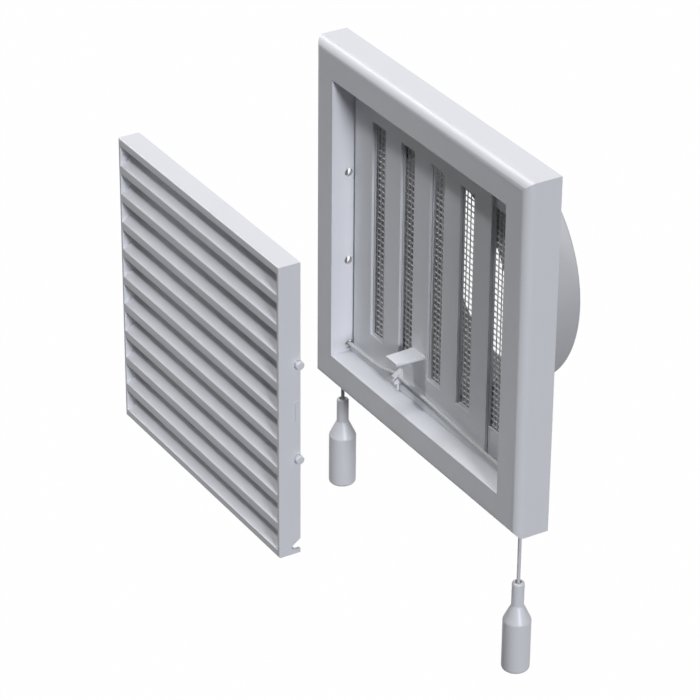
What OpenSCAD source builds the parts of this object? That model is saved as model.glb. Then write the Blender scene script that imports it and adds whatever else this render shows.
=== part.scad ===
// Square ventilation grille for a round duct: a bezel with a recess, a sliding
// shutter worked by a cord with two pulls, an insect mesh and a lift-off louvre panel.
// X runs to the right, Y into the wall, Z up. The wall's face is at Y = 0 and the
// duct's axis is the Y axis. The panel is drawn taken off, in front of the recess.

/* [Bezel] */
// Outer width and height of the square bezel
frame_w = 186; // [176:1:220]
// Depth of the bezel from its front face to the wall
frame_d = 18.2; // [17:0.1:26]
// Radius of the bezel's front edges
edge_r = 5; // [2.5:0.5:6]
// Width of the flat face round the recess
face_w = 17; // [16:0.5:20]
// Thickness of the moulded walls
wall_t = 2; // [1.6:0.1:2.5]
// Thickness of the stiffening ribs inside the hollow rim
rib_t = 1.4; // [1:0.1:2]
// Distance of each rib from the middle of its side
rib_at = 45; // [30:1:60]

/* [Slots] */
// Number of vertical slots in the fixed plate
slot_n = 5; // [3:2:5]
// Distance from one slot to the next
slot_pitch = 26.2; // [24:0.1:27]
// Width of each slot
slot_w = 12; // [8:0.5:12.5]
// Height of each slot
slot_h = 117; // [80:1:118]
// Thickness of the fixed slotted plate
plate_t = 1.3; // [1:0.1:1.8]
// Height of the land on the plate that centres it in the recess
land_h = 0.4; // [0.2:0.1:0.6]
// Width of the plate and collar beyond the recess wall, where they seat behind it
seat_w = 2; // [1.5:0.1:3]

/* [Shutter] */
// Thickness of the sliding shutter
shutter_t = 1.5; // [1.2:0.1:2]
// How far the shut shutter laps past each slot
shut_lap = 0.5; // [0.2:0.1:1]
// Gap from the open shutter to the recess wall beside it
shutter_end = 1.5; // [0.6:0.1:3]
// Thickness of the lips that hold the shutter in its grooves
lip_t = 0.8; // [0.6:0.1:1.2]
// Height of the guide rails at the top and bottom of the recess
rail_h = 4.3; // [3.5:0.1:6]
// Height of the rail's foot under the groove
foot_h = 1.4; // [1:0.1:2]
// Width of the finger tab at the shutter
tab_w = 11.2; // [8:0.1:12]
// Width of the finger tab at its tip
tab_tip_w = 9.7; // [6:0.1:12]
// Thickness of the finger tab
tab_t = 1.5; // [1:0.1:2]
// How far the tab reaches out in front of the bezel
tab_reach = 3.8; // [1:0.1:8]

/* [Collar] */
// Outer diameter of the spigot that goes into the duct
spigot_d = 120; // [90:1:124]
// Wall thickness of the spigot
spigot_t = 1.8; // [1.4:0.1:2.5]
// Length of the spigot behind the wall's face
spigot_l = 37; // [20:1:60]
// Lead-in chamfer on the spigot's rear edge
spigot_ch = 0.8; // [0.4:0.1:1.2]
// Thickness of the collar's flange
flange_t = 1.7; // [1.6:0.1:2.5]

/* [Mesh] */
// Width and height of the insect mesh
mesh_w = 124; // [121:1:130]
// Distance from one strand to the next
mesh_pitch = 3.05; // [2.4:0.05:6]
// Width of each strand
mesh_wire = 0.8; // [0.6:0.1:1.4]
// Thickness of the mesh
mesh_t = 0.8; // [0.5:0.1:0.9]
// Width of the mesh's plain border
mesh_edge = 2; // [1.5:0.1:3]

/* [Louvre panel] */
// Gap between the panel and the recess wall
panel_gap = 1.4; // [1:0.1:2]
// Thickness of the panel's walls
panel_t = 1.6; // [1.2:0.1:2]
// Radius of the panel's front edges
panel_edge_r = 0.6; // [0.3:0.1:1]
// How far the panel is drawn in front of its seat
panel_off = 116.7; // [60:0.1:160]
// Depth of the panel's bottom wall
sill_d = 9; // [7.5:0.1:9.2]
// Distance from the panel's edge to the middle of its top and bottom lips
blade_edge = 1.5; // [1.2:0.1:2.5]
// Number of blades between the top and bottom bands
blade_n = 9; // [9:1:9]
// Height of each blade's front lip
blade_lip_h = 4.1; // [3:0.1:5]
// Thickness of each blade's front lip
blade_lip_t = 1.3; // [1:0.1:2]
// Depth of each blade from front to back
blade_d = 7; // [5:0.1:7.1]
// Thickness of each blade
blade_t = 1.5; // [1:0.1:2]
// Slope of each blade, up towards the back
blade_tilt = 30; // [20:1:35]

/* [Pegs] */
// Radius of the four pegs that centre the panel in the recess
peg_r = 1.8; // [1:0.1:2]
// Height of the pegs above and below the middle
peg_z = 24.3; // [15:0.1:50]
// Distance from a peg's axis to the panel's back edge
peg_back = 1.4; // [1:0.1:2]
// Length of the bar moulded on each side between the pegs
side_bar_l = 10; // [6:0.5:20]
// Width of that bar
side_bar_w = 1.6; // [1:0.1:2]
// How far that bar stands out
side_bar_h = 0.6; // [0.3:0.1:0.8]

/* [Cord and pulls] */
// Diameter of the cord
cord_d = 1.8; // [1.4:0.1:2]
// Distance from the bezel's side to the hanging cord
cord_in = 11.5; // [11:0.1:12]
// Height of the cord above the recess floor, where it passes the walls
cord_up = 4.6; // [4.3:0.1:5]
// Height of the left pull's top below the bezel, with the shutter open
left_hang = 13.5; // [12:0.1:30]
// Height of the right pull's top below the bezel, with the shutter open
right_hang = 32.5; // [14:0.1:60]
// Radius of the holes in the recess walls
wall_hole_r = 2.2; // [2.1:0.1:2.6]
// Radius of the holes in the bezel's underside, where the cord hangs out
exit_r = 1.7; // [1.4:0.1:2.4]
// Length of a pull's neck
neck_l = 14; // [8:0.5:18]
// Diameter of a pull's neck
neck_d = 6.2; // [5:0.1:8]
// Length of a pull's shoulder
shoulder_l = 8.8; // [5:0.1:12]
// Length of a pull's body below its shoulder
pull_l = 26.7; // [18:0.1:40]
// Diameter of a pull's body
pull_d = 14; // [12:0.5:18]
// Radius of the bottom edge of a pull
pull_edge_r = 2; // [0.5:0.1:2.4]
// Radius of the top edge of a pull's neck
neck_edge_r = 1.2; // [0.4:0.1:1.4]
// Radius of the hole in the top of a pull
pull_bore_r = 1.5; // [1.2:0.1:2]
// Radius of the hollow inside a pull
pull_hollow_r = 4.2; // [3.6:0.1:4.4]
// Diameter of the knot that holds the cord in a pull
knot_d = 4.6; // [4:0.1:5]

/* [Cord clip] */
// Width of the clip along the shutter
clip_w = 2.6; // [2.4:0.1:6]
// Place of the clip's middle along the shutter, from the duct's axis
clip_x = -29; // [-32:0.5:-27]
// Height of the cord above the recess floor at the clip
clip_up = 9; // [8.6:0.1:9.2]
// Height of the clip above the cord
clip_head = 3.2; // [3:0.1:5]
// Height of the clip's face on the shutter
clip_h = 7.1; // [6.8:0.1:9]
// How far the clip stands out from the shutter
clip_d = 4.9; // [4.6:0.1:5]
// Height of the clip's sloping roof
clip_slope = 3.2; // [2.4:0.1:3.4]
// Width of the slit that the cord is pushed through
clip_slit = 1.1; // [0.8:0.1:1.4]
// Diameter of the locking pin under the clip
pin_d = 1.4; // [1:0.1:1.5]
// How far the pin stands out under the clip
pin_out = 4.2; // [1:0.1:4.4]

/* [Screws] */
// Radius of the screw bosses in the bezel
boss_r = 3.6; // [3:0.1:4]
// Radius of the hole in each boss
pilot_r = 1.2; // [1:0.05:1.3]
// Radius of the screws' shanks
shank_r = 1.4; // [1.3:0.05:1.5]
// Length of the screws' shanks
shank_l = 9; // [6:0.5:10]
// Radius of the screws' heads
head_r = 2.8; // [2.2:0.1:3.2]
// Height of the screws' heads
head_h = 1.2; // [0.8:0.1:1.4]

/* [Hidden] */
$fn = 64;
eps = 0.01;

// Running clearances
head_gap = 0.1;     // screw head to the wall's face
run_gap = 0.2;      // shutter to the fixed plate behind it
lip_gap = 0.1;      // shutter to the lips in front of it
rail_gap = 0.2;     // rails to the recess walls round them
edge_gap = 0.4;     // shutter's long edges to the groove floors
mesh_gap = 0.1;     // mesh to the faces on both sides of it
seat_gap = 0.25;    // seated panel to the rails
peg_gap = 0.2;      // pegs to the recess walls
cord_gap = 0.3;     // cord to the saddle that turns it
knot_gap = 0.3;     // knot to the shoulder it pulls against
screw_gap = 0.3;    // screw shanks to the holes in the lugs
tab_gap = 0.65;     // finger tab to the blade above it, with the panel seated

// Depths, measured back from the bezel's front face
flange_back = frame_d - head_h - head_gap;
plate_back = flange_back - flange_t;
plate_front = plate_back - plate_t;
seat_front = plate_front + land_h;
shutter_back = plate_front - run_gap;
shutter_front = shutter_back - shutter_t;
lip_back = shutter_front - lip_gap;
lip_front = lip_back - lip_t;
panel_d = lip_front - seat_gap;
peg_depth = panel_d - peg_back;

// Half widths, measured out from the duct's axis
frame_half = frame_w / 2;
recess_half = frame_half - face_w;
seat_half = recess_half + wall_t + seat_w;
rail_half = recess_half - rail_gap;
rail_top = rail_half - rail_h;
groove_half = rail_half - foot_h;
shutter_half_h = groove_half - edge_gap;
panel_half = recess_half - panel_gap;
panel_in = panel_half - panel_t;
lug_at = (recess_half + wall_t + frame_half - wall_t) / 2;
lug_r = boss_r + 0.9;

// Blades: pitch, and how far they rise and how thick they are seen upright
blade_pitch = 2 * (panel_half - blade_edge) / (blade_n + 1);
blade_rise = blade_d * tan(blade_tilt);
blade_drop = blade_t / cos(blade_tilt);

// Shutter
slot_first = -(slot_n - 1) / 2 * slot_pitch;
shutter_left = -recess_half + shutter_end;
shutter_right = slot_first + (slot_n - 1) * slot_pitch - slot_w / 2;
travel = slot_w + shut_lap;
tab_x = -slot_pitch / 2;
tab_top = -blade_lip_h / 2 - tab_gap - 3 * blade_pitch;

// Cord: where it passes through the walls and the clip
cord_r = cord_d / 2;
cord_depth = lip_front - cord_r;
cord_hole_z = cord_up - 0.8 - recess_half;
cord_wall_z = cord_up - recess_half;
cord_drop_x = frame_half - cord_in;
bend_r = 3.9;
saddle_r = bend_r - cord_r - cord_gap;
saddle_x = cord_drop_x - bend_r;
saddle_z = cord_wall_z - bend_r;
saddle_l = 5;
clip_cord_depth = shutter_front - 2.2;
clip_cord_z = clip_up - recess_half;
clip_hole_r = cord_r + 0.1;
clip_top = clip_cord_z + clip_head;
clip_bottom = clip_top - clip_h;
pin_depth = clip_cord_depth + 0.3;
notch_over = 4.3;
notch_under = 1.1;
notch_top = cord_wall_z + notch_over;
notch_bottom = cord_wall_z - notch_under;
notch_d = 4.4;
notch_slope = 3.2;
notch_cut = 1;
peg_h = panel_gap - peg_gap;

// Pulls
left_pull_z = -frame_half - left_hang;
right_pull_z = -frame_half - right_hang;
shoulder_z = neck_l + 2.5;
hollow_taper = 3.5;

// The cord's route, as depth behind the bezel's face: from the clip to the left
// wall and over its saddle, then the same on the right
left_run = [
    [-29, 10, -67], [-33, 10, -67.4], [-38, 10, -68.7], [-43, 10, -69.8], [-48, 10.1, -70.5],
    [-54, 10.2, -71], [-60, 10.3, -71.3], [-68, 10.4, -71.4], [-77.6, 10.4, -71.4],
    [-79.1, 10.4, -71.7], [-80.4, 10.4, -72.5], [-81.2, 10.4, -73.8], [-81.5, 10.4, -75.3],
    [-81.5, 10.4, -78]
];
right_run = [
    [-29, 10, -67], [-24, 10, -67.1], [-18, 10, -67.3], [-12, 10, -67.4], [-6, 10, -67.6],
    [0, 10, -67.8], [6, 10, -68.2], [12, 10, -68.6], [18, 10.1, -69], [24, 10.1, -69.4],
    [31, 10.2, -69.9], [38, 10.2, -70.3], [45, 10.3, -70.7], [52, 10.3, -71], [60, 10.4, -71.3],
    [68, 10.4, -71.4], [77.6, 10.4, -71.4], [79.1, 10.4, -71.7], [80.4, 10.4, -72.5],
    [81.2, 10.4, -73.8], [81.5, 10.4, -75.3], [81.5, 10.4, -78]
];
left_drop = [
    [-81.5, 10.4, -78], [-81.5, 10.4, -83], [-81.5, 10.4, -88], [-81.5, 10.4, -93],
    [-81.5, 10.4, -98], [-81.5, 10.4, -103], [-81.5, 10.4, -108], [-81.5, 10.4, -113],
    [-81.5, 10.4, -118], [-81.5, 10.4, -123.2]
];
right_drop = [
    [81.5, 10.4, -78], [81.5, 10.4, -83], [81.5, 10.4, -88], [81.5, 10.4, -93],
    [81.5, 10.4, -98], [81.5, 10.4, -104], [81.5, 10.4, -110], [81.5, 10.4, -116],
    [81.5, 10.4, -122], [81.5, 10.4, -128], [81.5, 10.4, -135], [81.5, 10.4, -142.2]
];

// Colours
shell_white = [0.93, 0.93, 0.94];
blade_white = [0.95, 0.95, 0.96];
mesh_grey = [0.62, 0.62, 0.64];
cord_white = [0.88, 0.88, 0.86];
pull_white = [0.84, 0.85, 0.88];
screw_grey = [0.60, 0.60, 0.62];

// Y of a depth behind the bezel's front face
function at_depth(d) = d - frame_d;

// A block centred on the duct's axis, from one depth to another
module slab(half_x, half_z, front, back)
    translate([-half_x, at_depth(front), -half_z])
        cube([2 * half_x, back - front, 2 * half_z]);

// Section through a slab whose two front edges are rounded
module front_rounded_section(half, depth, r)
    difference() {
        translate([-half, 0]) square([2 * half, depth]);
        for (s = [-1, 1])
            difference() {
                translate([s > 0 ? half - r : -half - eps, -eps]) square([r + eps, r + eps]);
                translate([s * (half - r), r]) circle(r = r);
            }
    }

// A square slab whose front edges are rounded and meet in mitres at the corners
module rounded_slab(half, front, back, r)
    translate([0, at_depth(front), 0])
        intersection() {
            translate([0, 0, -half])
                linear_extrude(height = 2 * half)
                    front_rounded_section(half, back - front, r);
            rotate([0, 90, 0])
                translate([0, 0, -half])
                    linear_extrude(height = 2 * half)
                        front_rounded_section(half, back - front, r);
        }

// A round bar or hole along Y, from one depth to another
module along_y(x, z, r, front, back)
    translate([x, at_depth(front), z])
        rotate([-90, 0, 0])
            cylinder(r = r, h = back - front);

// Places its children at the four screws, in the middle of each side
module at_lugs()
    for (a = [0:90:270])
        rotate([0, a, 0])
            translate([lug_at, 0, 0])
                children();

// Outline of the plate and the collar: a square with a holed lug on each side
module seat_outline()
    difference() {
        union() {
            square(2 * seat_half, center = true);
            for (a = [0:90:270])
                rotate(a) {
                    translate([lug_at, 0]) circle(r = lug_r);
                    translate([seat_half - 1, -lug_r]) square([lug_at - seat_half + 1, 2 * lug_r]);
                }
        }
        for (a = [0:90:270])
            rotate(a)
                translate([lug_at, 0]) circle(r = shank_r + screw_gap);
    }

// A flat outline, drawn as seen from the front, made solid from one depth to another
module plate_of(front, back)
    translate([0, at_depth(back), 0])
        rotate([90, 0, 0])
            linear_extrude(height = back - front)
                children();

// The row of slots from the first one on
module slot_row(count)
    for (i = [0:count - 1])
        translate([slot_first + i * slot_pitch - slot_w / 2, -slot_h / 2])
            square([slot_w, slot_h]);

module bezel_shell()
    difference() {
        rounded_slab(frame_half, 0, frame_d, edge_r);
        slab(recess_half, recess_half, -1, frame_d + 1);
        difference() {
            rounded_slab(frame_half - wall_t, wall_t, frame_d + 1, max(edge_r - wall_t, 0.5));
            slab(recess_half + wall_t, recess_half + wall_t, 0, seat_front);
        }
    }

// Ribs across the hollow rim, two on each side
module bezel_ribs()
    intersection() {
        rounded_slab(frame_half - wall_t / 2, wall_t / 2, seat_front, edge_r - wall_t / 2);
        for (a = [0:90:270], s = [-1, 1])
            rotate([0, a, 0])
                translate([recess_half + wall_t / 2, at_depth(0), s * rib_at - rib_t / 2])
                    cube([face_w, seat_front, rib_t]);
    }

// Saddles outside the recess walls, which turn the cord down
module cord_saddles()
    for (s = [-1, 1])
        intersection() {
            along_y(s * saddle_x, saddle_z, saddle_r, cord_depth - saddle_l / 2,
                    cord_depth + saddle_l / 2);
            translate([s > 0 ? recess_half + wall_t / 2 : -recess_half - wall_t / 2 - 2 * saddle_r,
                       at_depth(0), saddle_z - 2 * saddle_r])
                cube([2 * saddle_r, frame_d, 4 * saddle_r]);
        }

module bezel()
    color(shell_white)
        difference() {
            union() {
                difference() {
                    union() {
                        bezel_shell();
                        bezel_ribs();
                        at_lugs()
                            along_y(0, 0, boss_r, wall_t / 2, seat_front);
                    }
                    for (s = [-1, 1], z = [-peg_z, peg_z])
                        translate([s * (recess_half + wall_t / 2), at_depth(peg_depth), z])
                            rotate([0, 90, 0])
                                cylinder(r = wall_hole_r, h = wall_t + 1, center = true);
                    for (s = [-1, 1])
                        translate([s * (recess_half + wall_t / 2), at_depth(cord_depth),
                                   cord_hole_z])
                            rotate([0, 90, 0])
                                cylinder(r = wall_hole_r, h = wall_t + 1, center = true);
                }
                cord_saddles();
            }
            at_lugs()
                along_y(0, 0, pilot_r, seat_front - shank_l, seat_front + eps);
            for (s = [-1, 1])
                translate([s * cord_drop_x, at_depth(cord_depth), -frame_half - 1])
                    cylinder(r = exit_r, h = wall_t + 2);
        }

// Rail with a groove for the shutter's edge, drawn for the bottom of the recess
module guide_rail()
    translate([-rail_half, at_depth(0), 0])
        rotate([90, 0, 90])
            linear_extrude(height = 2 * rail_half)
                polygon([
                    [lip_front, -rail_half], [plate_front + plate_t / 2, -rail_half],
                    [plate_front + plate_t / 2, -groove_half], [lip_back, -groove_half],
                    [lip_back, -rail_top], [lip_front, -rail_top]
                ]);

module slotted_plate()
    color(shell_white) {
        plate_of(seat_front, plate_back)
            difference() {
                seat_outline();
                slot_row(slot_n);
            }
        plate_of(plate_front, plate_back)
            difference() {
                square(2 * rail_half, center = true);
                slot_row(slot_n);
            }
        guide_rail();
        rotate([0, 180, 0]) guide_rail();
    }

// One layer of the mesh: upright strands between two borders, in front of a depth
module mesh_layer(back) {
    half = mesh_w / 2;
    span = mesh_w - 2 * mesh_edge;
    gaps = floor((span + mesh_wire) / mesh_pitch);
    gap_w = mesh_pitch - mesh_wire;
    first = -(gaps * mesh_pitch - mesh_wire) / 2;
    color(mesh_grey)
        translate([0, at_depth(back), 0])
            rotate([90, 0, 0])
                linear_extrude(height = mesh_t / 2)
                    difference() {
                        square(2 * half, center = true);
                        for (i = [0:gaps - 1])
                            translate([first + i * mesh_pitch, first])
                                square([gap_w, -2 * first]);
                    }
}

module mesh_uprights()
    mesh_layer(plate_back + mesh_gap + mesh_t / 2);

module mesh_crossbars()
    rotate([0, 90, 0])
        mesh_layer(plate_back + mesh_gap + mesh_t);

module duct_collar() {
    spigot_r = spigot_d / 2;
    color(shell_white)
        difference() {
            union() {
                plate_of(plate_back, flange_back)
                    seat_outline();
                along_y(0, 0, spigot_r, plate_back + flange_t / 2, frame_d + spigot_l - spigot_ch);
                translate([0, spigot_l - spigot_ch, 0])
                    rotate([-90, 0, 0])
                        cylinder(r1 = spigot_r, r2 = spigot_r - spigot_ch, h = spigot_ch);
            }
            slab(mesh_w / 2 + mesh_gap, mesh_w / 2 + mesh_gap, plate_back - 1,
                 plate_back + mesh_t + 2 * mesh_gap);
            along_y(0, 0, spigot_r - spigot_t, plate_back - 1, frame_d + spigot_l + 1);
        }
}

// One pan-head screw with a cross recess, its head to the wall
module screw() {
    cross_w = head_r / 4;
    cross_l = head_r * 1.1;
    difference() {
        union() {
            along_y(0, 0, head_r, flange_back, flange_back + head_h);
            along_y(0, 0, shank_r, flange_back - shank_l, flange_back + eps);
        }
        for (a = [0, 90])
            rotate([0, a, 0])
                translate([-cross_w / 2, at_depth(flange_back + head_h / 2), -cross_l / 2])
                    cube([cross_w, head_h, cross_l]);
    }
}

module collar_screws()
    color(screw_grey)
        at_lugs() screw();

module shutter()
    color(shell_white) {
        plate_of(shutter_front, shutter_back)
            difference() {
                translate([shutter_left, -shutter_half_h])
                    square([shutter_right - shutter_left, 2 * shutter_half_h]);
                slot_row(slot_n - 1);
            }
        translate([tab_x, at_depth(shutter_front), tab_top - tab_t])
            linear_extrude(height = tab_t)
                polygon([[-tab_w / 2, eps], [-tab_tip_w / 2, -shutter_front - tab_reach],
                         [tab_tip_w / 2, -shutter_front - tab_reach], [tab_w / 2, eps]]);
    }

// Clip in section, depth across and height up: sloping roof, slit and cord hole
module clip_section() {
    front = shutter_front - clip_d;
    difference() {
        polygon([[shutter_front, clip_top], [front, clip_top - clip_slope],
                 [front + 0.3, clip_bottom], [shutter_front, clip_bottom]]);
        translate([clip_cord_depth, clip_cord_z]) circle(r = clip_hole_r);
        translate([clip_cord_depth, clip_cord_z])
            rotate(215)
                translate([0, -clip_slit / 2]) square([clip_d + 2, clip_slit]);
    }
}

module cord_clip()
    color(blade_white)
        difference() {
            translate([clip_x - clip_w / 2, at_depth(0), 0])
                rotate([90, 0, 90])
                    linear_extrude(height = clip_w)
                        clip_section();
            translate([clip_x, at_depth(pin_depth), clip_bottom - 1])
                cylinder(d = pin_d, h = 3);
        }

module clip_pin()
    color(blade_white)
        translate([clip_x, at_depth(pin_depth), clip_bottom - pin_out])
            cylinder(d = pin_d, h = pin_out + 2);

// Blade in section, depth across and height up from the lip's centre
module blade_section()
    polygon([
        [0, -blade_lip_h / 2], [0, blade_lip_h / 2],
        [blade_d, blade_lip_h / 2 + blade_rise],
        [blade_d, blade_lip_h / 2 + blade_rise - blade_drop],
        [blade_lip_t, blade_lip_h / 2 + blade_lip_t * tan(blade_tilt) - blade_drop],
        [blade_lip_t, -blade_lip_h / 2]
    ]);

module blade(centre_z, half)
    translate([-half, at_depth(-panel_off), centre_z])
        rotate([90, 0, 90])
            linear_extrude(height = 2 * half)
                blade_section();

function blade_z(k) = ((blade_n + 1) / 2 - k) * blade_pitch;

module louvre_blade(k)
    color(blade_white)
        blade(blade_z(k), panel_in);

// Notch in the panel's sides that clears the cord, depth across and height up
module notch_section()
    polygon([
        [panel_d + 1, notch_top], [panel_d, notch_top],
        [panel_d - notch_d, notch_top - notch_slope],
        [panel_d - notch_d, notch_bottom + notch_cut],
        [panel_d - notch_d + notch_cut, notch_bottom], [panel_d + 1, notch_bottom]
    ]);

// A peg in section, turned about its axis: root in the wall, shaft and bevelled end
module peg_section()
    polygon([
        [0, -panel_t / 2], [peg_r, -panel_t / 2], [peg_r, peg_h / 2],
        [peg_r * 0.7, peg_h], [0, peg_h]
    ]);

module panel_frame() {
    front = -panel_off;
    hold = panel_in + panel_t / 2;
    color(blade_white)
        difference() {
            union() {
                difference() {
                    rounded_slab(panel_half, front, front + panel_d, panel_edge_r);
                    slab(panel_in, panel_in, front - 1, front + panel_d + 1);
                    translate([-panel_in, at_depth(front + sill_d), -panel_half - 1])
                        cube([2 * panel_in, panel_d, panel_t + 1 + eps]);
                }
                translate([-hold, at_depth(front), blade_z(0) - blade_lip_h / 2])
                    cube([2 * hold, blade_lip_t, hold - blade_z(0) + blade_lip_h / 2]);
                intersection() {
                    blade(blade_z(blade_n + 1), hold);
                    slab(hold, hold, front, front + panel_d);
                }
                for (s = [-1, 1]) {
                    for (z = [-peg_z, peg_z])
                        translate([s * panel_half, at_depth(front + peg_depth), z])
                            rotate([0, s * 90, 0])
                                rotate_extrude()
                                    peg_section();
                    translate([s > 0 ? hold : -panel_half - side_bar_h,
                               at_depth(front + peg_depth - side_bar_w), -side_bar_l / 2])
                        cube([side_bar_h + panel_t / 2, side_bar_w, side_bar_l]);
                }
            }
            for (s = [-1, 1])
                translate([s > 0 ? panel_in - 1 : -panel_half - 1, at_depth(front), 0])
                    rotate([90, 0, 90])
                        linear_extrude(height = panel_t + 2)
                            notch_section();
        }
}

// A round tube swept along a route of [x, depth, z] points
function unit(v) = v / norm(v);
function tangent(path, i) =
    unit(path[min(i + 1, len(path) - 1)] - path[max(i - 1, 0)]);
function ring(path, i, r, sides) =
    let (t = tangent(path, i), u = unit(cross(t, [0, 1, 0])), v = cross(t, u))
    [for (k = [0:sides - 1])
        let (a = 360 * k / sides) path[i] + r * (cos(a) * u + sin(a) * v)];

module cord_tube(path) {
    sides = 8;
    n = len(path);
    points = [for (i = [0:n - 1]) each ring(path, i, cord_r, sides)];
    walls = [for (i = [0:n - 2], k = [0:sides - 1])
        let (j = (k + 1) % sides)
        [i * sides + k, i * sides + j, (i + 1) * sides + j, (i + 1) * sides + k]];
    first_end = [for (k = [sides - 1:-1:0]) k];
    last_end = [for (k = [0:sides - 1]) (n - 1) * sides + k];
    color(cord_white)
        translate([0, at_depth(0), 0])
            polyhedron(points = points, faces = concat(walls, [first_end], [last_end]));
}

// Pull in section, radius across and height up from its top
function arc(x, z, r, from, to, steps = 6) =
    [for (i = [0:steps]) let (a = from + (to - from) * i / steps) [x + r * cos(a), z + r * sin(a)]];

module pull_section() {
    body_r = pull_d / 2;
    neck_r = neck_d / 2;
    bottom = -neck_l - shoulder_l - pull_l;
    polygon(concat(
        [[pull_bore_r, 0]],
        arc(neck_r - neck_edge_r, -neck_edge_r, neck_edge_r, 90, 0),
        [[neck_r, -neck_l], [body_r, -neck_l - shoulder_l]],
        arc(body_r - pull_edge_r, bottom + pull_edge_r, pull_edge_r, 0, -90),
        [[pull_hollow_r, bottom], [pull_hollow_r, -shoulder_z - hollow_taper],
         [pull_hollow_r * 0.7, -shoulder_z], [pull_bore_r, -shoulder_z]]
    ));
}

module pull(x, top_z)
    color(pull_white)
        translate([x, at_depth(cord_depth), top_z])
            rotate_extrude()
                pull_section();

module knot(x, top_z)
    color(cord_white)
        translate([x, at_depth(cord_depth), top_z - shoulder_z - knot_gap - knot_d / 2])
            sphere(d = knot_d, $fn = 32);

bezel();
slotted_plate();
mesh_uprights();
mesh_crossbars();
duct_collar();
collar_screws();
shutter();
cord_clip();
clip_pin();
panel_frame();
louvre_blade(1);  // louvre_blade_1
louvre_blade(2);  // louvre_blade_2
louvre_blade(3);  // louvre_blade_3
louvre_blade(4);  // louvre_blade_4
louvre_blade(5);  // louvre_blade_5
louvre_blade(6);  // louvre_blade_6
louvre_blade(7);  // louvre_blade_7
louvre_blade(8);  // louvre_blade_8
louvre_blade(9);  // louvre_blade_9
cord_tube(left_run);  // cord_left_run
cord_tube(right_run);  // cord_right_run
cord_tube(left_drop);  // cord_left_drop
cord_tube(right_drop);  // cord_right_drop
pull(-cord_drop_x, left_pull_z);  // left_pull
pull(cord_drop_x, right_pull_z);  // right_pull
knot(-cord_drop_x, left_pull_z);  // left_knot
knot(cord_drop_x, right_pull_z);  // right_knot
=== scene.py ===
import math

import bmesh
import bpy
from mathutils import Matrix, Vector
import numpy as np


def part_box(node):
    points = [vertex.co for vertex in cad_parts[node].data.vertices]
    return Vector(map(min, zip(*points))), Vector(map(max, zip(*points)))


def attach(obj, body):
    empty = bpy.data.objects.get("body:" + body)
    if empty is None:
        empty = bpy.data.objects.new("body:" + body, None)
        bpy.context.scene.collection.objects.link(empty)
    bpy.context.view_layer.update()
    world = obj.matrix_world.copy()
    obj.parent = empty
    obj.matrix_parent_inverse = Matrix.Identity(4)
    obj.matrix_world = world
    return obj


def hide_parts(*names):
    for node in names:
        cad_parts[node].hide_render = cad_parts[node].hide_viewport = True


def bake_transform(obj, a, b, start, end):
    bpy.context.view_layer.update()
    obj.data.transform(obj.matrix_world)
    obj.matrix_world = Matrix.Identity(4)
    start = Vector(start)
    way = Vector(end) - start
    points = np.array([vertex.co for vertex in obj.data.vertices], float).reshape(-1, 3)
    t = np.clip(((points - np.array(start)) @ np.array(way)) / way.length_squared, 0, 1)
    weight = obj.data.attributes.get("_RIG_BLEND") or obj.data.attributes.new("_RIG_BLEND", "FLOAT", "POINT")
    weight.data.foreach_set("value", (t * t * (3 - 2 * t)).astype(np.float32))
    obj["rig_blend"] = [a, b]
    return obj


mm = 0.001
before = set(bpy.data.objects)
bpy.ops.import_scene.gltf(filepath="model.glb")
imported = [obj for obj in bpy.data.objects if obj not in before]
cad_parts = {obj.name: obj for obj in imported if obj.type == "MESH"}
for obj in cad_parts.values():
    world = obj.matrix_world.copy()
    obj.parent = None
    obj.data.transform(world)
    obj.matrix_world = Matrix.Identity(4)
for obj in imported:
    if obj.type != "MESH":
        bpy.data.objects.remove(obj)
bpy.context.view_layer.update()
scene = bpy.context.scene
scene.view_settings.view_transform = "Standard"
print("frame loaded with", len(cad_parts), "nodes")


# a socket that reads like a number, so that node maths can be written as an expression
class Wire:
    def __init__(self, graph, socket):
        self.graph = graph
        self.socket = socket

    def __add__(self, other):
        return self.graph.maths("ADD", self, other)

    def __sub__(self, other):
        return self.graph.maths("SUBTRACT", self, other)

    def __rsub__(self, other):
        return self.graph.maths("SUBTRACT", other, self)

    def __mul__(self, other):
        return self.graph.maths("MULTIPLY", self, other)

    __radd__ = __add__
    __rmul__ = __mul__


class Graph:
    def __init__(self, tree):
        self.tree = tree

    # the one way a node is made: its type, its settings, then its sockets' values or links
    def node(self, kind, settings=None, sockets=None):
        made = self.tree.nodes.new(kind)
        for name, value in (settings or {}).items():
            setattr(made, name, value)
        for name, value in (sockets or {}).items():
            self.feed(made.inputs[name], value)
        return made

    def feed(self, socket, value):
        if isinstance(value, Wire):
            self.tree.links.new(value.socket, socket)
        else:
            socket.default_value = value

    def wire(self, kind, output, settings=None, sockets=None):
        return Wire(self, self.node(kind, settings, sockets).outputs[output])

    def maths(self, operation, *values):
        return self.wire("ShaderNodeMath", 0, {"operation": operation}, dict(enumerate(values)))

    def mixColours(self, amount, first, second):
        return self.wire("ShaderNodeMix", 2, {"data_type": "RGBA"}, {0: amount, 6: first, 7: second})


class Finish(Graph):
    def __init__(self, name):
        self.material = bpy.data.materials.new(name)
        self.material.use_nodes = True
        super().__init__(self.material.node_tree)
        self.tree.nodes.clear()

    def noise(self, scale, detail, roughness):
        place = self.wire("ShaderNodeTexCoord", "Object")
        return self.wire("ShaderNodeTexNoise", "Fac", None, {
            "Vector": place, "Scale": scale, "Detail": detail, "Roughness": roughness})

    def bump(self, height, strength, distance):
        return self.wire("ShaderNodeBump", "Normal", None, {
            "Height": height, "Strength": strength, "Distance": distance})

    def surface(self, sockets):
        shader = self.wire("ShaderNodeBsdfPrincipled", "BSDF", None, sockets)
        self.node("ShaderNodeOutputMaterial", None, {"Surface": shader})
        return self.material


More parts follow.
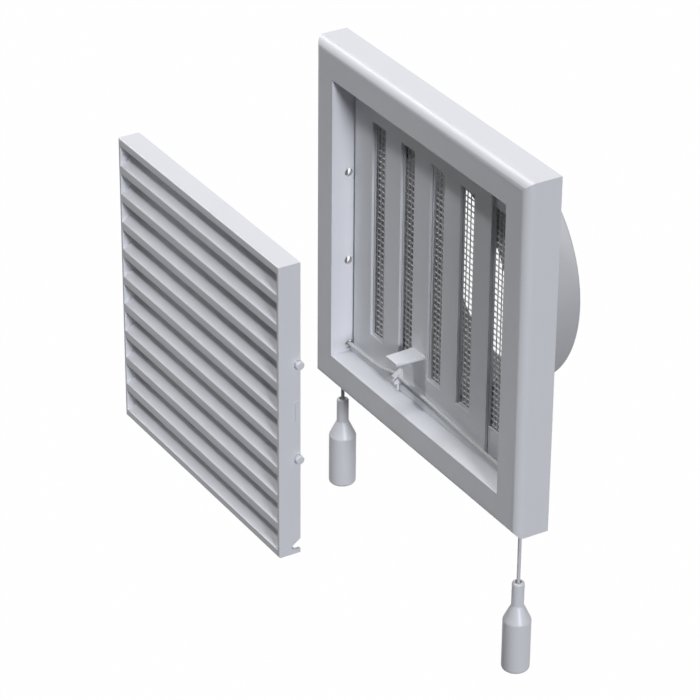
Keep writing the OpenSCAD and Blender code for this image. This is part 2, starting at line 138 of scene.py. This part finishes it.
def rgb(red, green, blue):
    return (red, green, blue, 1)


# camera
camera = {"place": (1.20257, -0.78236, 0.76923), "aim": (-0.74441, 0.45138, -0.49205),
          "roll": 0.461, "lens": 175.44, "sensor": 36, "farthest": 30}


def makeCamera():
    data = bpy.data.cameras.new("camera")
    data.lens = camera["lens"]
    data.sensor_width = camera["sensor"]
    data.clip_end = camera["farthest"]
    made = bpy.data.objects.new("camera", data)
    turn = Vector(camera["aim"]).to_track_quat("-Z", "Y").to_matrix().to_4x4()
    made.matrix_world = (Matrix.Translation(camera["place"]) @ turn
                         @ Matrix.Rotation(math.radians(camera["roll"]), 4, "Z"))
    scene.collection.objects.link(made)
    scene.camera = made


makeCamera()


# finishes: a colour and a darker one, mixed by noise in the object's own coordinates, or by the cord's braid,
# whose darker grooves are painted shade
plastics = {
    "whitePlastic": {"colour": rgb(0.785, 0.795, 0.825), "shade": rgb(0.73, 0.74, 0.77),
                     "roughness": 0.42, "grain": 0.06, "ior": 1.49},
    # the duct collar's plastic is painted a darker grey than the white plastic, a painted shade for the dark
    # inside of the duct
    "ductPlastic": {"colour": rgb(0.54, 0.545, 0.56), "shade": rgb(0.48, 0.485, 0.50),
                    "roughness": 0.5, "grain": 0.06, "ior": 1.38},
    "pullPlastic": {"colour": rgb(0.78, 0.79, 0.82), "shade": rgb(0.72, 0.73, 0.76),
                    "roughness": 0.36, "grain": 0.03, "ior": 1.49}}
moulding = {"cloudScale": 22, "flowScale": 90, "grainScale": 1500, "cloudShare": 0.7, "flowShare": 0.3,
            "shading": 0.8, "gloss": 0.12, "fineHeight": 0.6, "flowHeight": 0.4, "depth": 0.02 * mm}


def mouldedPlastic(name):
    own = plastics[name]
    paint = Finish(name)
    cloud = paint.noise(moulding["cloudScale"], 3, 0.55)
    flow = paint.noise(moulding["flowScale"], 4, 0.6)
    fine = paint.noise(moulding["grainScale"], 2, 0.5)
    tone = (cloud * moulding["cloudShare"] + flow * moulding["flowShare"]) * moulding["shading"]
    height = fine * moulding["fineHeight"] + flow * moulding["flowHeight"]
    return paint.surface({
        "Base Color": paint.mixColours(tone, own["colour"], own["shade"]),
        "Roughness": flow * moulding["gloss"] + (own["roughness"] - moulding["gloss"] / 2),
        "IOR": own["ior"],
        "Normal": paint.bump(height, own["grain"], moulding["depth"])})


netting = {"colour": rgb(0.84, 0.84, 0.85), "shade": rgb(0.76, 0.76, 0.78), "scale": 260,
           "roughness": 0.5, "gloss": 0.1, "grain": 0.25, "depth": 0.05 * mm}


def nettingPlastic():
    paint = Finish("nettingPlastic")
    flow = paint.noise(netting["scale"], 3, 0.6)
    return paint.surface({
        "Base Color": paint.mixColours(flow, netting["colour"], netting["shade"]),
        "Roughness": flow * netting["gloss"] + netting["roughness"],
        "Normal": paint.bump(flow, netting["grain"], netting["depth"])})


braid = {"colour": rgb(0.76, 0.76, 0.76), "groove": rgb(0.58, 0.58, 0.59), "strands": 4, "lay": 2.6 * mm,
         "fibreScale": 4200, "fibreShade": 0.15, "fibreHeight": 0.2, "roughness": 0.8, "relief": 0.6,
         "depth": 0.12 * mm}


# two crossing sets of strands, read from the tube's own UV map: around, then along in metres; the grooves
# between the strands get a darker colour, a painted shade
def braidedCord():
    paint = Finish("braidedCord")
    around = paint.wire("ShaderNodeUVMap", "UV", {"uv_map": "route"})
    split = paint.node("ShaderNodeSeparateXYZ", None, {"Vector": around})
    turn = Wire(paint, split.outputs["X"]) * (2 * math.pi * braid["strands"])
    along = Wire(paint, split.outputs["Y"]) * (2 * math.pi / braid["lay"])
    right = paint.maths("SINE", turn + along) * 0.5 + 0.5
    left = paint.maths("SINE", turn - along) * 0.5 + 0.5
    height = paint.maths("MAXIMUM", right, left)
    fibre = paint.noise(braid["fibreScale"], 2, 0.6)
    tone = height * (1 - braid["fibreShade"]) + fibre * braid["fibreShade"]
    return paint.surface({
        # the low grooves between the strands take the darker colour: painted shade in the braid's creases
        "Base Color": paint.mixColours(tone, braid["groove"], braid["colour"]),
        "Roughness": braid["roughness"],
        "Normal": paint.bump(height + fibre * braid["fibreHeight"], braid["relief"], braid["depth"])})


steel = {"colour": rgb(0.56, 0.56, 0.58), "shade": rgb(0.44, 0.44, 0.46), "scale": 700, "roughness": 0.28,
         "gloss": 0.2, "grain": 0.15, "depth": 0.02 * mm}


def zincSteel():
    paint = Finish("zincSteel")
    flow = paint.noise(steel["scale"], 4, 0.65)
    return paint.surface({
        "Base Color": paint.mixColours(flow, steel["colour"], steel["shade"]),
        "Metallic": 1.0,
        "Roughness": flow * steel["gloss"] + steel["roughness"],
        "Normal": paint.bump(flow, steel["grain"], steel["depth"])})


whitePlastic = mouldedPlastic("whitePlastic")
# darker grey plastic for the duct collar: painted shade for the duct's dark inside
ductPlastic = mouldedPlastic("ductPlastic")
pullPlastic = mouldedPlastic("pullPlastic")
meshPlastic = nettingPlastic()
cordTextile = braidedCord()
screwSteel = zincSteel()
print("finishes made")


def addPiece(name, mesh, material):
    mesh.materials.clear()
    mesh.materials.append(material)
    made = bpy.data.objects.new(name, mesh)
    scene.collection.objects.link(made)
    return made


# cords: the same points as in the part's source, in millimetres: x, depth behind the bezel's face, z
cord = {"diameter": 1.8 * mm, "sides": 16, "step": 0.7 * mm}
bezelDepth = 18.2
routes = {
    "leftRun": [
        (-29, 10, -67), (-33, 10, -67.4), (-38, 10, -68.7), (-43, 10, -69.8), (-48, 10.1, -70.5),
        (-54, 10.2, -71), (-60, 10.3, -71.3), (-68, 10.4, -71.4), (-77.6, 10.4, -71.4),
        (-79.1, 10.4, -71.7), (-80.4, 10.4, -72.5), (-81.2, 10.4, -73.8), (-81.5, 10.4, -75.3),
        (-81.5, 10.4, -78)],
    "rightRun": [
        (-29, 10, -67), (-24, 10, -67.1), (-18, 10, -67.3), (-12, 10, -67.4), (-6, 10, -67.6),
        (0, 10, -67.8), (6, 10, -68.2), (12, 10, -68.6), (18, 10.1, -69), (24, 10.1, -69.4),
        (31, 10.2, -69.9), (38, 10.2, -70.3), (45, 10.3, -70.7), (52, 10.3, -71), (60, 10.4, -71.3),
        (68, 10.4, -71.4), (77.6, 10.4, -71.4), (79.1, 10.4, -71.7), (80.4, 10.4, -72.5),
        (81.2, 10.4, -73.8), (81.5, 10.4, -75.3), (81.5, 10.4, -78)],
    "leftDrop": [
        (-81.5, 10.4, -78), (-81.5, 10.4, -83), (-81.5, 10.4, -88), (-81.5, 10.4, -93),
        (-81.5, 10.4, -98), (-81.5, 10.4, -103), (-81.5, 10.4, -108), (-81.5, 10.4, -113),
        (-81.5, 10.4, -118), (-81.5, 10.4, -123.2)],
    "rightDrop": [
        (81.5, 10.4, -78), (81.5, 10.4, -83), (81.5, 10.4, -88), (81.5, 10.4, -93),
        (81.5, 10.4, -98), (81.5, 10.4, -104), (81.5, 10.4, -110), (81.5, 10.4, -116),
        (81.5, 10.4, -122), (81.5, 10.4, -128), (81.5, 10.4, -135), (81.5, 10.4, -142.2)]}


def routePoints(name):
    return [Vector((x, depth - bezelDepth, z)) * mm for x, depth, z in routes[name]]


# a smooth line through the route's points, in short steps
def smoothLine(points, step):
    dense = []
    for i in range(len(points) - 1):
        before = points[max(i - 1, 0)]
        start = points[i]
        end = points[i + 1]
        after = points[min(i + 2, len(points) - 1)]
        count = max(2, math.ceil((end - start).length / step))
        for k in range(count):
            t = k / count
            dense.append(0.5 * (2 * start + (end - before) * t
                                + (2 * before - 5 * start + 4 * end - after) * t ** 2
                                + (3 * start - before - 3 * end + after) * t ** 3))
    dense.append(points[-1])
    return dense


def makeTube(name, line, diameter, sides, material):
    shape = bmesh.new()
    uv = shape.loops.layers.uv.new("route")
    rings = []
    lengths = [0]
    for i, point in enumerate(line):
        along = (line[min(i + 1, len(line) - 1)] - line[max(i - 1, 0)]).normalized()
        across = along.cross(Vector((0, 1, 0))).normalized()
        up = along.cross(across)
        turns = [2 * math.pi * k / sides for k in range(sides)]
        rings.append([shape.verts.new(point + (across * math.cos(a) + up * math.sin(a)) * diameter / 2)
                      for a in turns])
        if i:
            lengths.append(lengths[-1] + (point - line[i - 1]).length)
    for i in range(len(rings) - 1):
        for k in range(sides):
            j = (k + 1) % sides
            face = shape.faces.new((rings[i][k], rings[i][j], rings[i + 1][j], rings[i + 1][k]))
            face.smooth = True
            corners = ((k, i), (k + 1, i), (k + 1, i + 1), (k, i + 1))
            for loop, (u, v) in zip(face.loops, corners):
                loop[uv].uv = (u / sides, lengths[v])
    shape.faces.new(list(reversed(rings[0])))
    shape.faces.new(rings[-1])
    bmesh.ops.recalc_face_normals(shape, faces=shape.faces)
    mesh = bpy.data.meshes.new(name)
    shape.to_mesh(mesh)
    shape.free()
    return addPiece(name, mesh, material)


def cordLine(route):
    return smoothLine(routePoints(route), cord["step"])


def makeCord(name, route, node):
    made = makeTube(name, cordLine(route), cord["diameter"], cord["sides"], cordTextile)
    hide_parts(node)
    return made


leftRun = makeCord("cordLeftRun", "leftRun", "cord_left_run")
rightRun = makeCord("cordRightRun", "rightRun", "cord_right_run")
leftDrop = makeCord("cordLeftDrop", "leftDrop", "cord_left_drop")
rightDrop = makeCord("cordRightDrop", "rightDrop", "cord_right_drop")


# each stretch keeps with the base up to the fixed point and with the moving body from the moving one
def blendCord(piece, body, route, fixed, moving):
    points = routePoints(route)
    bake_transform(piece, "base", body, start=tuple(points[fixed]), end=tuple(points[moving]))


blendCord(leftRun, "shutter", "leftRun", 8, 1)
blendCord(rightRun, "shutter", "rightRun", 16, 1)
blendCord(leftDrop, "left_pull", "leftDrop", 0, 6)
blendCord(rightDrop, "right_pull", "rightDrop", 0, 9)
print("cords made")


# soft edged copies of the solids: body, then width of the softened edges in millimetres
mouldedPieces = {
    "bezel": ("base", 0.35), "slotted_plate": ("base", 0.18), "duct_collar": ("base", 0.3),
    "shutter": ("shutter", 0.25), "cord_clip": ("shutter", 0.2), "clip_pin": ("shutter", 0.2),
    "panel_frame": ("panel", 0.28), "collar_screws": ("base", 0.25)}
softening = {"segments": 3, "sharpest": 32, "mergeWithin": 0.002, "weight": 100}


def softened(node, body, width, material, slot):
    shape = bmesh.new()
    shape.from_mesh(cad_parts[node].data)
    bmesh.ops.remove_doubles(shape, verts=shape.verts, dist=softening["mergeWithin"] * mm)
    mesh = bpy.data.meshes.new(node + "Shell")
    shape.to_mesh(mesh)
    shape.free()
    for layer in [a.name for a in mesh.attributes if a.name == "custom_normal"]:
        mesh.attributes.remove(mesh.attributes[layer])
    for polygon in mesh.polygons:
        polygon.use_smooth = True
    made = addPiece(node + "Shell", mesh, material)
    bevel = made.modifiers.new("edges", "BEVEL")
    bevel.width = width * mm
    bevel.segments = softening["segments"]
    bevel.limit_method = "ANGLE"
    bevel.angle_limit = math.radians(softening["sharpest"])
    bevel.miter_outer = "MITER_ARC"
    weighted = made.modifiers.new("shading", "WEIGHTED_NORMAL")
    weighted.keep_sharp = True
    weighted.weight = softening["weight"]
    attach(made, body)
    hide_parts(node)


# what isn't white plastic: material, then slot; the duct collar's darker grey plastic is a painted shade for
# the dark inside of the duct
otherFinish = {"duct_collar": (ductPlastic, "shell_plastic"), "collar_screws": (screwSteel, "screw_steel")}
for node, (body, width) in mouldedPieces.items():
    softened(node, body, width, *otherFinish.get(node, (whitePlastic, "shell_plastic")))
print("moulded pieces softened")


# geometry nodes: a tree with named number inputs, closed by Realize Instances and Set Material
class GeometryTree(Graph):
    def __init__(self, name, material, inputs):
        super().__init__(bpy.data.node_groups.new(name, "GeometryNodeTree"))
        self.material = material
        self.tree.interface.new_socket("Geometry", in_out="OUTPUT", socket_type="NodeSocketGeometry")
        for label, kind in inputs.items():
            self.tree.interface.new_socket(label, in_out="INPUT", socket_type=kind)
        self.entry = self.node("NodeGroupInput")

    def given(self, label):
        return Wire(self, self.entry.outputs[label])

    def close(self, geometry):
        whole = self.wire("GeometryNodeRealizeInstances", 0, None, {0: geometry})
        painted = self.wire("GeometryNodeSetMaterial", 0, None, {
            "Geometry": whole, "Material": self.material})
        self.node("NodeGroupOutput", None, {0: painted})
        return self.tree

    def join(self, *parts):
        joined = self.node("GeometryNodeJoinGeometry")
        for part in parts:
            self.tree.links.new(part.socket, joined.inputs[0])
        return Wire(self, joined.outputs[0])


def grow(name, tree, values, body, nodes):
    carrier = bpy.data.objects.new(name + "Carrier", bpy.data.meshes.new(name + "Carrier"))
    scene.collection.objects.link(carrier)
    modifier = carrier.modifiers.new(name, "NODES")
    modifier.node_group = tree
    for item in tree.interface.items_tree:
        if item.in_out == "INPUT" and item.name in values:
            modifier[item.identifier] = values[item.name]
    bpy.context.view_layer.update()
    evaluated = carrier.evaluated_get(bpy.context.evaluated_depsgraph_get())
    mesh = bpy.data.meshes.new_from_object(evaluated)
    bpy.data.objects.remove(carrier)
    made = bpy.data.objects.new(name, mesh)
    scene.collection.objects.link(made)
    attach(made, body)
    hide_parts(*nodes)
    return made


# insect netting: two sets of strands with rounded backs, laid one on the other
net = {"pitch": 3.05 * mm, "width": 0.66 * mm, "crossWidth": 0.95 * mm, "depth": 0.42 * mm,
       "border": 3.2 * mm, "sides": 8, "uprightLift": 0.5, "crossLift": 1.4}


def nettingTree():
    graph = GeometryTree("netting", meshPlastic, {
        "Half Width": "NodeSocketFloat", "Pitch": "NodeSocketFloat", "Strand Width": "NodeSocketFloat",
        "Cross Width": "NodeSocketFloat", "Strand Depth": "NodeSocketFloat", "Count": "NodeSocketInt",
        "Front": "NodeSocketFloat"})
    half = graph.given("Half Width")
    strandDepth = graph.given("Strand Depth")
    foot = graph.wire("ShaderNodeCombineXYZ", 0, None, {"Z": half * -1})
    head = graph.wire("ShaderNodeCombineXYZ", 0, None, {"Z": half})
    line = graph.wire("GeometryNodeCurvePrimitiveLine", 0, None, {"Start": foot, "End": head})
    circle = graph.wire("GeometryNodeCurvePrimitiveCircle", 0, None, {
        "Resolution": net["sides"], "Radius": 0.5})

    # one strand, flattened to the given width
    def strand(width):
        squeeze = graph.wire("ShaderNodeCombineXYZ", 0, None, {"X": strandDepth, "Y": width, "Z": 1.0})
        profile = graph.wire("GeometryNodeTransform", 0, None, {"Geometry": circle, "Scale": squeeze})
        return graph.wire("GeometryNodeCurveToMesh", 0, None, {
            "Curve": line, "Profile Curve": profile, "Fill Caps": True})

    count = graph.given("Count")
    pitch = graph.given("Pitch")
    first = graph.wire("ShaderNodeCombineXYZ", 0, None, {"X": (count - 1) * pitch * -0.5})
    step = graph.wire("ShaderNodeCombineXYZ", 0, None, {"X": pitch})
    places = graph.wire("GeometryNodeMeshLine", 0, None, {
        "Count": count, "Start Location": first, "Offset": step})
    uprights = graph.wire("GeometryNodeInstanceOnPoints", 0, None, {
        "Points": places, "Instance": strand(graph.given("Strand Width"))})
    crossbars = graph.wire("GeometryNodeInstanceOnPoints", 0, None, {
        "Points": places, "Instance": strand(graph.given("Cross Width"))})
    front = graph.given("Front")
    lifted = graph.wire("ShaderNodeCombineXYZ", 0, None, {"Y": front + strandDepth * net["uprightLift"]})
    laid = graph.wire("ShaderNodeCombineXYZ", 0, None, {"Y": front + strandDepth * net["crossLift"]})
    placed = graph.wire("GeometryNodeTransform", 0, None, {"Geometry": uprights, "Translation": lifted})
    turned = graph.wire("GeometryNodeTransform", 0, None, {
        "Geometry": crossbars, "Translation": laid, "Rotation": (0, math.pi / 2, 0)})
    return graph.close(graph.join(placed, turned))


def makeNetting():
    low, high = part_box("mesh_uprights")
    span = high[0] - low[0] - net["border"]
    grow("netting", nettingTree(), {
        "Half Width": span / 2, "Pitch": net["pitch"], "Strand Width": net["width"],
        "Cross Width": net["crossWidth"], "Strand Depth": net["depth"], "Count": int(span / net["pitch"]),
        "Front": low[1]},
        "base", ["mesh_uprights", "mesh_crossbars"])


makeNetting()
print("netting made")


# louvre blades: one rounded section, drawn as depth and height, swept across the panel
blade = {"count": 9, "pitch": 14.62 * mm, "lipHeight": 4.1 * mm, "lipDepth": 1.3 * mm, "depth": 7 * mm,
         "thickness": 1.5 * mm, "tilt": 30, "round": 0.35 * mm, "steps": 4, "weight": 100}


def bladeCorners():
    rise = math.tan(math.radians(blade["tilt"]))
    drop = blade["thickness"] / math.cos(math.radians(blade["tilt"]))
    half = blade["lipHeight"] / 2
    depth = blade["depth"]
    lip = blade["lipDepth"]
    return [(0, -half), (0, half), (depth, half + depth * rise), (depth, half + depth * rise - drop),
            (lip, half + lip * rise - drop), (lip, -half)]


# the same corners, each cut back and bridged by a short curve
def roundedOutline(corners, radius, steps):
    outline = []
    for i, corner in enumerate(corners):
        here = Vector(corner)
        before = here + (Vector(corners[i - 1]) - here).normalized() * radius
        after = here + (Vector(corners[(i + 1) % len(corners)]) - here).normalized() * radius
        for k in range(steps + 1):
            t = k / steps
            outline.append(before * (1 - t) ** 2 + here * 2 * t * (1 - t) + after * t ** 2)
    return outline


def bladeMesh(length):
    shape = bmesh.new()
    outline = roundedOutline(bladeCorners(), blade["round"], blade["steps"])
    ends = [[shape.verts.new((side * length / 2, point.x, point.y)) for point in outline]
            for side in (-1, 1)]
    for k in range(len(outline)):
        j = (k + 1) % len(outline)
        shape.faces.new((ends[0][k], ends[0][j], ends[1][j], ends[1][k])).smooth = True
    shape.faces.new(ends[0])
    shape.faces.new(ends[1])
    bmesh.ops.recalc_face_normals(shape, faces=shape.faces)
    mesh = bpy.data.meshes.new("bladeSection")
    shape.to_mesh(mesh)
    shape.free()
    return bpy.data.objects.new("bladeSection", mesh)


def bladeTree(section):
    graph = GeometryTree("louvreBlades", whitePlastic, {
        "Count": "NodeSocketInt", "Pitch": "NodeSocketFloat", "Front": "NodeSocketFloat",
        "Lowest": "NodeSocketFloat"})
    first = graph.wire("ShaderNodeCombineXYZ", 0, None, {
        "Y": graph.given("Front"), "Z": graph.given("Lowest")})
    step = graph.wire("ShaderNodeCombineXYZ", 0, None, {"Z": graph.given("Pitch")})
    places = graph.wire("GeometryNodeMeshLine", 0, None, {
        "Count": graph.given("Count"), "Start Location": first, "Offset": step})
    one = graph.wire("GeometryNodeObjectInfo", "Geometry", None, {"Object": section})
    blades = graph.wire("GeometryNodeInstanceOnPoints", 0, None, {"Points": places, "Instance": one})
    return graph.close(blades)


def makeBlades():
    low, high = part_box("louvre_blade_5")
    section = bladeMesh(high[0] - low[0])
    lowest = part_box("louvre_blade_9")[0][2] + blade["lipHeight"] / 2
    made = grow("louvreBlades", bladeTree(section), {
        "Count": blade["count"], "Pitch": blade["pitch"], "Front": low[1], "Lowest": lowest},
        "panel", [f"louvre_blade_{k}" for k in range(1, blade["count"] + 1)])
    weighted = made.modifiers.new("shading", "WEIGHTED_NORMAL")
    weighted.weight = blade["weight"]


makeBlades()
print("louvre blades made")


# pulls and pegs are turned from a profile of radius and height in millimetres
turning = {"mergeWithin": 0.0001, "weight": 60}
pull = {"neck": 12.9, "neckWidth": 6.2, "neckEdge": 1.2, "shoulder": 8.3, "body": 28.3, "bodyWidth": 14,
        "bodyEdge": 2, "bore": 1.5, "hollow": 4.2, "hollowTop": 16.5, "taper": 3.5, "throat": 0.7,
        "footEdge": 0.3, "soft": 0.45, "segments": 96, "steps": 7}


def arcPoints(x, z, radius, start, end, steps):
    turns = [math.radians(start + (end - start) * k / steps) for k in range(steps + 1)]
    return [(x + radius * math.cos(a), z + radius * math.sin(a)) for a in turns]


def pullProfile():
    neckRadius = pull["neckWidth"] / 2
    bodyRadius = pull["bodyWidth"] / 2
    edge = pull["neckEdge"]
    foot = pull["bodyEdge"]
    bottom = -pull["neck"] - pull["shoulder"] - pull["body"]
    waist = roundedOutline([(neckRadius, -edge), (neckRadius, -pull["neck"]),
                            (bodyRadius, -pull["neck"] - pull["shoulder"]), (bodyRadius, bottom + foot)],
                           pull["soft"], pull["steps"])[pull["steps"] + 1:-(pull["steps"] + 1)]
    return ([(pull["bore"], 0)] + arcPoints(neckRadius - edge, -edge, edge, 90, 0, pull["steps"])
            + [tuple(point) for point in waist]
            + arcPoints(bodyRadius - foot, bottom + foot, foot, 0, -90, pull["steps"])
            + [(pull["hollow"] + pull["footEdge"], bottom), (pull["hollow"], bottom + pull["footEdge"]),
               (pull["hollow"], -pull["hollowTop"] - pull["taper"]),
               (pull["hollow"] * pull["throat"], -pull["hollowTop"]), (pull["bore"], -pull["hollowTop"])])


def turned(name, profile, centre, segments, material):
    shape = bmesh.new()
    rings = []
    for k in range(segments):
        a = 2 * math.pi * k / segments
        rings.append([shape.verts.new(centre + Vector((r * math.cos(a), r * math.sin(a), z)) * mm)
                      for r, z in profile])
    for k in range(segments):
        following = rings[(k + 1) % segments]
        for i in range(len(profile)):
            j = (i + 1) % len(profile)
            shape.faces.new((rings[k][i], rings[k][j], following[j], following[i])).smooth = True
    bmesh.ops.remove_doubles(shape, verts=shape.verts, dist=turning["mergeWithin"] * mm)
    bmesh.ops.recalc_face_normals(shape, faces=shape.faces)
    mesh = bpy.data.meshes.new(name)
    shape.to_mesh(mesh)
    shape.free()
    made = addPiece(name, mesh, material)
    weighted = made.modifiers.new("shading", "WEIGHTED_NORMAL")
    weighted.weight = turning["weight"]
    return made


def makePull(side):
    node = side + "_pull"
    low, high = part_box(node)
    centre = Vector(((low[0] + high[0]) / 2, (low[1] + high[1]) / 2, high[2]))
    made = turned(side + "Pull", pullProfile(), centre, pull["segments"], pullPlastic)
    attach(made, node)
    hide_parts(node)
    return made


# an overhand knot: a short tube tied along a trefoil inside the knot's ball
knot = {"tube": 0.42, "steps": 90, "sides": 10, "trefoilReach": 3, "height": 1.6}


def makeKnot(side):
    node = side + "_knot"
    low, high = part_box(node)
    centre = (Vector(low) + Vector(high)) / 2
    reach = (high[0] - low[0]) / 2
    tube = reach * knot["tube"]
    spread = (reach - tube) / knot["trefoilReach"]
    line = []
    for k in range(knot["steps"] + 1):
        t = 2 * math.pi * k / knot["steps"]
        line.append(centre + Vector(((math.sin(t) + 2 * math.sin(2 * t)) * spread,
                                     (math.cos(t) - 2 * math.cos(2 * t)) * spread,
                                     -math.sin(3 * t) * spread * knot["height"])))
    made = makeTube(side + "Knot", line, tube * 2, knot["sides"], cordTextile)
    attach(made, side + "_pull")
    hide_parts(node)
    return made


# the panel's snap pegs at their full length, over the shorter stiff ones of the frame
pegs = {"radius": 2.05, "length": 2.6, "root": 0.8, "edge": 0.4, "edgeStart": 15, "edgeSteps": 4,
        "spread": 24.3, "side": 74.6, "depth": 9.65, "segments": 48}


def pegProfile():
    edge = pegs["edge"]
    top = pegs["length"] - edge
    return ([(0, -pegs["root"]), (pegs["radius"], -pegs["root"]), (pegs["radius"], top)]
            + arcPoints(pegs["radius"] - edge, top, edge, pegs["edgeStart"], 90, pegs["edgeSteps"])
            + [(0, pegs["length"])])


def makePeg(name, side, height):
    made = turned(name, pegProfile(), Vector((0, 0, 0)), pegs["segments"], whitePlastic)
    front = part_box("panel_frame")[0][1]
    root = Vector((side * pegs["side"] * mm, front + pegs["depth"] * mm, height * pegs["spread"] * mm))
    made.data.transform(Matrix.Translation(root) @ Matrix.Rotation(side * math.pi / 2, 4, "Y"))
    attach(made, "panel")


for side, sideName in ((-1, "Left"), (1, "Right")):
    for height, heightName in ((-1, "Lower"), (1, "Upper")):
        makePeg("peg" + heightName + sideName, side, height)
leftPull = makePull("left")
rightPull = makePull("right")
leftKnot = makeKnot("left")
rightKnot = makeKnot("right")


def declareDrop(route):
    line = cordLine(route)
    length = sum((b - a).length for a, b in zip(line, line[1:]))


declareDrop("leftDrop")
declareDrop("rightDrop")
print("pegs, pulls and knots made")


# studio: plain soft lamps, each placed in the direction that its light comes from, and a floor and world that
# the camera sees pale but that light the object little
studio = {"floor": -1.2, "floorSize": 14, "floorShade": 0.04, "floorPale": 0.85, "floorGlow": 0.97,
          "sky": rgb(0.95, 0.97, 1.0), "ambient": 0.04}
lamps = {
    "frontLight": {"strength": 0.87, "place": (-0.06, -0.43, 0.9), "spread": 6, "colour": (1, 1, 1)},
    "topLight": {"strength": 0.83, "place": (0, -0.01, 1), "spread": 11, "colour": (1, 1, 1)},
    "sideLight": {"strength": 2.05, "place": (0.92, -0.14, 0.38), "spread": 10, "colour": (0.92, 0.94, 1)},
    "edgeLight": {"strength": 0.9, "place": (-0.744, -0.02, 0.6), "spread": 12, "colour": (1, 1, 1)},
    "backLight": {"strength": 1.4, "place": (-0.66, 0.6, -0.45), "spread": 40, "colour": (1, 1, 1)}}


def addSun(name, lamp):
    data = bpy.data.lights.new(name, "SUN")
    data.energy = lamp["strength"]
    data.color = lamp["colour"]
    data.angle = math.radians(lamp["spread"])
    made = bpy.data.objects.new(name, data)
    made.matrix_world = Vector(lamp["place"]).to_track_quat("Z", "Y").to_matrix().to_4x4()
    scene.collection.objects.link(made)


def seenDirectly(graph):
    path = graph.node("ShaderNodeLightPath")
    kinds = ("Is Camera Ray", "Is Glossy Ray", "Is Transmission Ray")
    rays = [Wire(graph, path.outputs[kind]) for kind in kinds]
    return graph.maths("MINIMUM", rays[0] + rays[1] + rays[2], 1.0)


def makeStudio():
    world = bpy.data.worlds.new("studio")
    scene.world = world
    world.use_nodes = True
    graph = Graph(world.node_tree)
    graph.tree.nodes.clear()
    seen = seenDirectly(graph)
    light = graph.wire("ShaderNodeBackground", 0, None, {
        "Color": studio["sky"], "Strength": studio["ambient"]})
    white = graph.wire("ShaderNodeBackground", 0, None, {"Color": rgb(1, 1, 1), "Strength": 1.0})
    mixed = graph.wire("ShaderNodeMixShader", 0, None, {0: seen, 1: light, 2: white})
    graph.node("ShaderNodeOutputWorld", None, {"Surface": mixed})

    paint = Finish("floorPaint")
    seen = seenDirectly(paint)
    dark = studio["floorShade"]
    pale = studio["floorPale"]
    shade = paint.mixColours(seen, rgb(dark, dark, dark), rgb(pale, pale, pale))
    matt = paint.wire("ShaderNodeBsdfDiffuse", 0, None, {"Color": shade})
    glow = paint.wire("ShaderNodeEmission", 0, None, {"Color": rgb(1, 1, 1), "Strength": 1.0})
    mixed = paint.wire("ShaderNodeMixShader", 0, None, {0: seen * studio["floorGlow"], 1: matt, 2: glow})
    paint.node("ShaderNodeOutputMaterial", None, {"Surface": mixed})
    shape = bmesh.new()
    bmesh.ops.create_grid(shape, x_segments=1, y_segments=1, size=studio["floorSize"])
    bmesh.ops.translate(shape, verts=shape.verts, vec=(0, 0, studio["floor"]))
    mesh = bpy.data.meshes.new("floor")
    shape.to_mesh(mesh)
    shape.free()
    floor = addPiece("floor", mesh, paint.material)
    # the floor hides no lamp from the object, and still takes its shadow
    floor.visible_shadow = False
    for name, lamp in lamps.items():
        addSun(name, lamp)


makeStudio()
print("studio lit")
